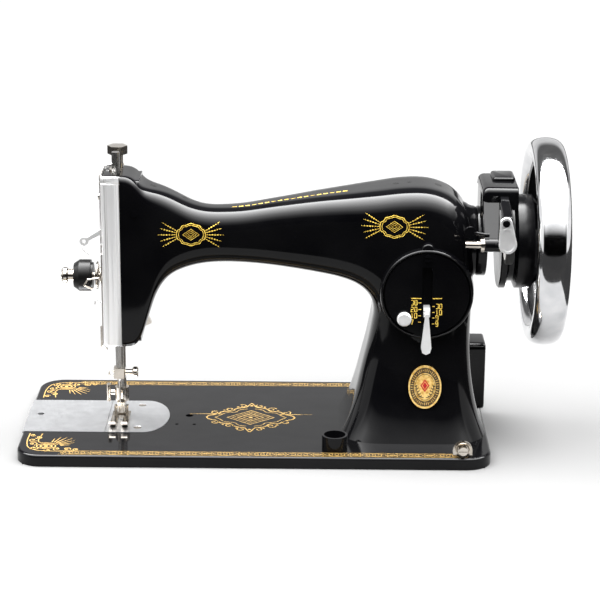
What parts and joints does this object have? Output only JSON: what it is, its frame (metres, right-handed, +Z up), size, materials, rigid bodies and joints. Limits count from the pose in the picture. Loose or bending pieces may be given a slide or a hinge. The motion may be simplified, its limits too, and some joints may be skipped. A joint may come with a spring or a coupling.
{
  "type": "sewing machine head",
  "caption": "Flat-bed household lockstitch sewing machine head with hand wheel, bobbin winder, hinged presser foot and oscillating hook.",
  "frame": {"origin": "middle of the bed, on the plane of the rim's underside that the cabinet carries", "axes": "+X along the arm from the needle end to the hand wheel, +Y from the operator to the back, +Z up"},
  "size_m": [0.4294, 0.1794, 0.2785],
  "materials": {
    "black_enamel": "gloss black enamel on cast iron",
    "nickel": "bright nickel and chrome plate",
    "steel": "ground steel, oiled",
    "bronze": "turned bronze",
    "gold_badge": "pressed and lacquered",
    "tyre_rubber": "black rubber ring"
  },
  "bodies": {
    "frame": {"bed": "black_enamel", "arm": "black_enamel", "arm_bolts": "steel", "needle_plate": "nickel", "plate_screws": "nickel", "face_plate": "nickel", "face_plate_screws": "nickel", "rear_cover": "black_enamel", "stitch_plate": "black_enamel", "stitch_plate_screws": "nickel", "badge": "gold_badge", "shaft_bushings": "bronze", "take_up_stud": "nickel", "pressure_nut": "nickel", "tension_stud": "nickel", "tension_discs": "nickel", "check_spring": "nickel", "thread_guides": "nickel", "winder_bracket": "black_enamel", "bed_tension": "nickel", "hook_race": "steel", "bobbin_case": "steel"},
    "main_shaft": {"arm_shaft": "steel", "needle_crank": "steel"},
    "wheel": {"hand_wheel": "black_enamel", "wheel_rim": "nickel"},
    "stop_motion": {"clutch_knob": "nickel"},
    "needle_rod": {"needle_link": "steel"},
    "needle_carrier": {"needle_bar": "steel", "needle_clamp": "nickel", "needle": "steel"},
    "clamp_screw": {"needle_clamp_screw": "nickel"},
    "take_up": {"take_up_lever": "nickel"},
    "presser": {"presser_bar": "steel", "presser_guide": "steel", "presser_spring": "steel", "foot_shank": "nickel"},
    "sole": {"foot_sole": "nickel"},
    "shank_screw": {"foot_screw": "nickel"},
    "lifter": {"presser_lifter": "nickel"},
    "pressure_adjuster": {"pressure_screw": "nickel"},
    "tension_adjuster": {"tension_dial": "black_enamel", "tension_nut": "nickel"},
    "regulator": {"stitch_lever": "nickel"},
    "regulator_stop": {"stitch_stop_knob": "nickel"},
    "cover_slide": {"slide_plate": "nickel"},
    "winder_swing": {"winder_arm": "black_enamel"},
    "winder_rotor": {"winder_spindle": "nickel", "winder_tyre": "tyre_rubber"},
    "winder_stop": {"winder_latch": "nickel"},
    "drop_knob": {"feed_knob": "black_enamel"},
    "feed_lifter": {"feed_lift": "steel"},
    "feeder": {"feed_bar": "steel", "feed_dog": "steel"},
    "feed_rocker": {"feed_shaft": "steel"},
    "fork": {"feed_fork": "steel"},
    "hook_rod": {"connecting_rod": "steel"},
    "hook_rotor": {"hook": "steel", "hook_shaft": "steel"},
    "bobbin_reel": {"bobbin": "steel"}
  },
  "joints": [
    {"name": "main_turn", "type": "hinge", "parent": "frame", "child": "main_shaft", "pos_m": [0, 0, 0.16], "axis": [1, 0, 0], "range_deg": [0, 180]},
    {"name": "wheel_free_turn", "type": "hinge", "parent": "main_shaft", "child": "wheel", "pos_m": [0.2275, 0, 0.16], "axis": [1, 0, 0], "continuous": true},
    {"name": "clutch_turn", "type": "hinge", "parent": "main_shaft", "child": "stop_motion", "pos_m": [0.24, 0, 0.16], "axis": [1, 0, 0], "range_deg": [0, 90]},
    {"name": "needle_link_swing", "type": "hinge", "parent": "needle_carrier", "child": "needle_rod", "pos_m": [-0.102, -0.009, 0.141], "axis": [1, 0, 0], "range_deg": [0, 20]},
    {"name": "needle_bar_slide", "type": "slide", "parent": "frame", "child": "needle_carrier", "axis": [0, 0, -1], "range_m": [0, 0.028]},
    {"name": "clamp_screw_turn", "type": "hinge", "parent": "needle_carrier", "child": "clamp_screw", "pos_m": [-0.1015, -0.009, 0.0505], "axis": [1, 0, 0], "range_deg": [0, 180]},
    {"name": "take_up_swing", "type": "hinge", "parent": "frame", "child": "take_up", "pos_m": [-0.0947, -0.0172, 0.185], "axis": [0, 1, 0], "range_deg": [0, 60]},
    {"name": "lifter_swing", "type": "hinge", "parent": "frame", "child": "lifter", "pos_m": [-0.1, 0.02, 0.121], "axis": [0, -1, 0], "range_deg": [0, 80]},
    {"name": "presser_slide", "type": "slide", "parent": "frame", "child": "presser", "axis": [0, 0, 1], "range_m": [0, 0.005]},
    {"name": "foot_tilt", "type": "hinge", "parent": "presser", "child": "sole", "pos_m": [-0.1095, -0.0004, 0.0165], "axis": [-1, 0, 0], "range_deg": [0, 4]},
    {"name": "foot_screw_turn", "type": "hinge", "parent": "presser", "child": "shank_screw", "pos_m": [-0.1175, 0.007, 0.0275], "axis": [-1, 0, 0], "range_deg": [0, 180]},
    {"name": "pressure_turn", "type": "hinge", "parent": "frame", "child": "pressure_adjuster", "pos_m": [-0.1095, 0.007, 0.225], "axis": [0, 0, 1], "range_deg": [-360, 360]},
    {"name": "tension_turn", "type": "hinge", "parent": "frame", "child": "tension_adjuster", "pos_m": [-0.14, 0, 0.1287], "axis": [1, 0, 0], "range_deg": [-150, 150]},
    {"name": "stitch_swing", "type": "hinge", "parent": "frame", "child": "regulator", "pos_m": [0.1337, -0.022, 0.1198], "axis": [-1, 0, 0], "range_deg": [0, 30]},
    {"name": "stitch_stop_turn", "type": "hinge", "parent": "frame", "child": "regulator_stop", "pos_m": [0.1163, -0.042, 0.1084], "axis": [0, 1, 0], "range_deg": [-180, 180]},
    {"name": "slide_plate_pull", "type": "slide", "parent": "frame", "child": "cover_slide", "axis": [-1, 0, 0], "range_m": [0, 0.055]},
    {"name": "winder_engage", "type": "hinge", "parent": "frame", "child": "winder_swing", "pos_m": [0.182, -0.026, 0.2034], "axis": [1, 0, 0], "range_deg": [0, 1.8]},
    {"name": "winder_spin", "type": "hinge", "parent": "winder_swing", "child": "winder_rotor", "pos_m": [0.185, -0.05256, 0.171], "axis": [1, 0, 0], "continuous": true},
    {"name": "winder_stop_swing", "type": "hinge", "parent": "frame", "child": "winder_stop", "pos_m": [0.1903, -0.07176, 0.193], "axis": [0, 1, 0], "range_deg": [-10, 25]},
    {"name": "drop_knob_turn", "type": "hinge", "parent": "frame", "child": "drop_knob", "pos_m": [0.063, -0.069, 0.015], "axis": [0, 0, 1], "range_deg": [0, 90]},
    {"name": "feed_drop", "type": "slide", "parent": "frame", "child": "feed_lifter", "axis": [0, 0, -1], "range_m": [0, 0.002]},
    {"name": "feed_advance", "type": "slide", "parent": "feed_lifter", "child": "feeder", "axis": [0, 1, 0], "range_m": [0, 0.0025]},
    {"name": "feed_rock", "type": "hinge", "parent": "frame", "child": "feed_rocker", "pos_m": [0.06, 0.032, -0.0085], "axis": [1, 0, 0], "range_deg": [0, 1.5]},
    {"name": "fork_swing", "type": "hinge", "parent": "feed_rocker", "child": "fork", "pos_m": [0.139, 0, -0.0025], "axis": [1, 0, 0], "range_deg": [0, 0.56]},
    {"name": "hook_rod_turn", "type": "hinge", "parent": "main_shaft", "child": "hook_rod", "pos_m": [0.12, 0, 0.1695], "axis": [1, 0, 0], "range_deg": [-180, 0]},
    {"name": "hook_swing", "type": "hinge", "parent": "frame", "child": "hook_rotor", "pos_m": [0, -0.009, -0.0175], "axis": [1, 0, 0], "range_deg": [-93.15, 0]},
    {"name": "bobbin_spin", "type": "hinge", "parent": "frame", "child": "bobbin_reel", "pos_m": [-0.1175, -0.009, -0.0175], "axis": [1, 0, 0], "continuous": true}
  ],
  "couplings": [
    {"joint": "needle_bar_slide", "follows": "main_turn", "m_per_rad": 0.0089127},
    {"joint": "take_up_swing", "follows": "main_turn", "ratio": 0.33333},
    {"joint": "feed_advance", "follows": "main_turn", "m_per_rad": 0.00079577},
    {"joint": "feed_rock", "follows": "main_turn", "ratio": 0.0083333},
    {"joint": "fork_swing", "follows": "main_turn", "ratio": 0.0031111},
    {"joint": "hook_rod_turn", "follows": "main_turn", "ratio": -1},
    {"joint": "hook_swing", "follows": "main_turn", "ratio": -0.5172},
    {"joint": "presser_slide", "follows": "lifter_swing", "m_per_rad": 0.003581},
    {"joint": "drop_knob_turn", "follows": "feed_drop", "rad_per_m": 785.39}
  ]
}
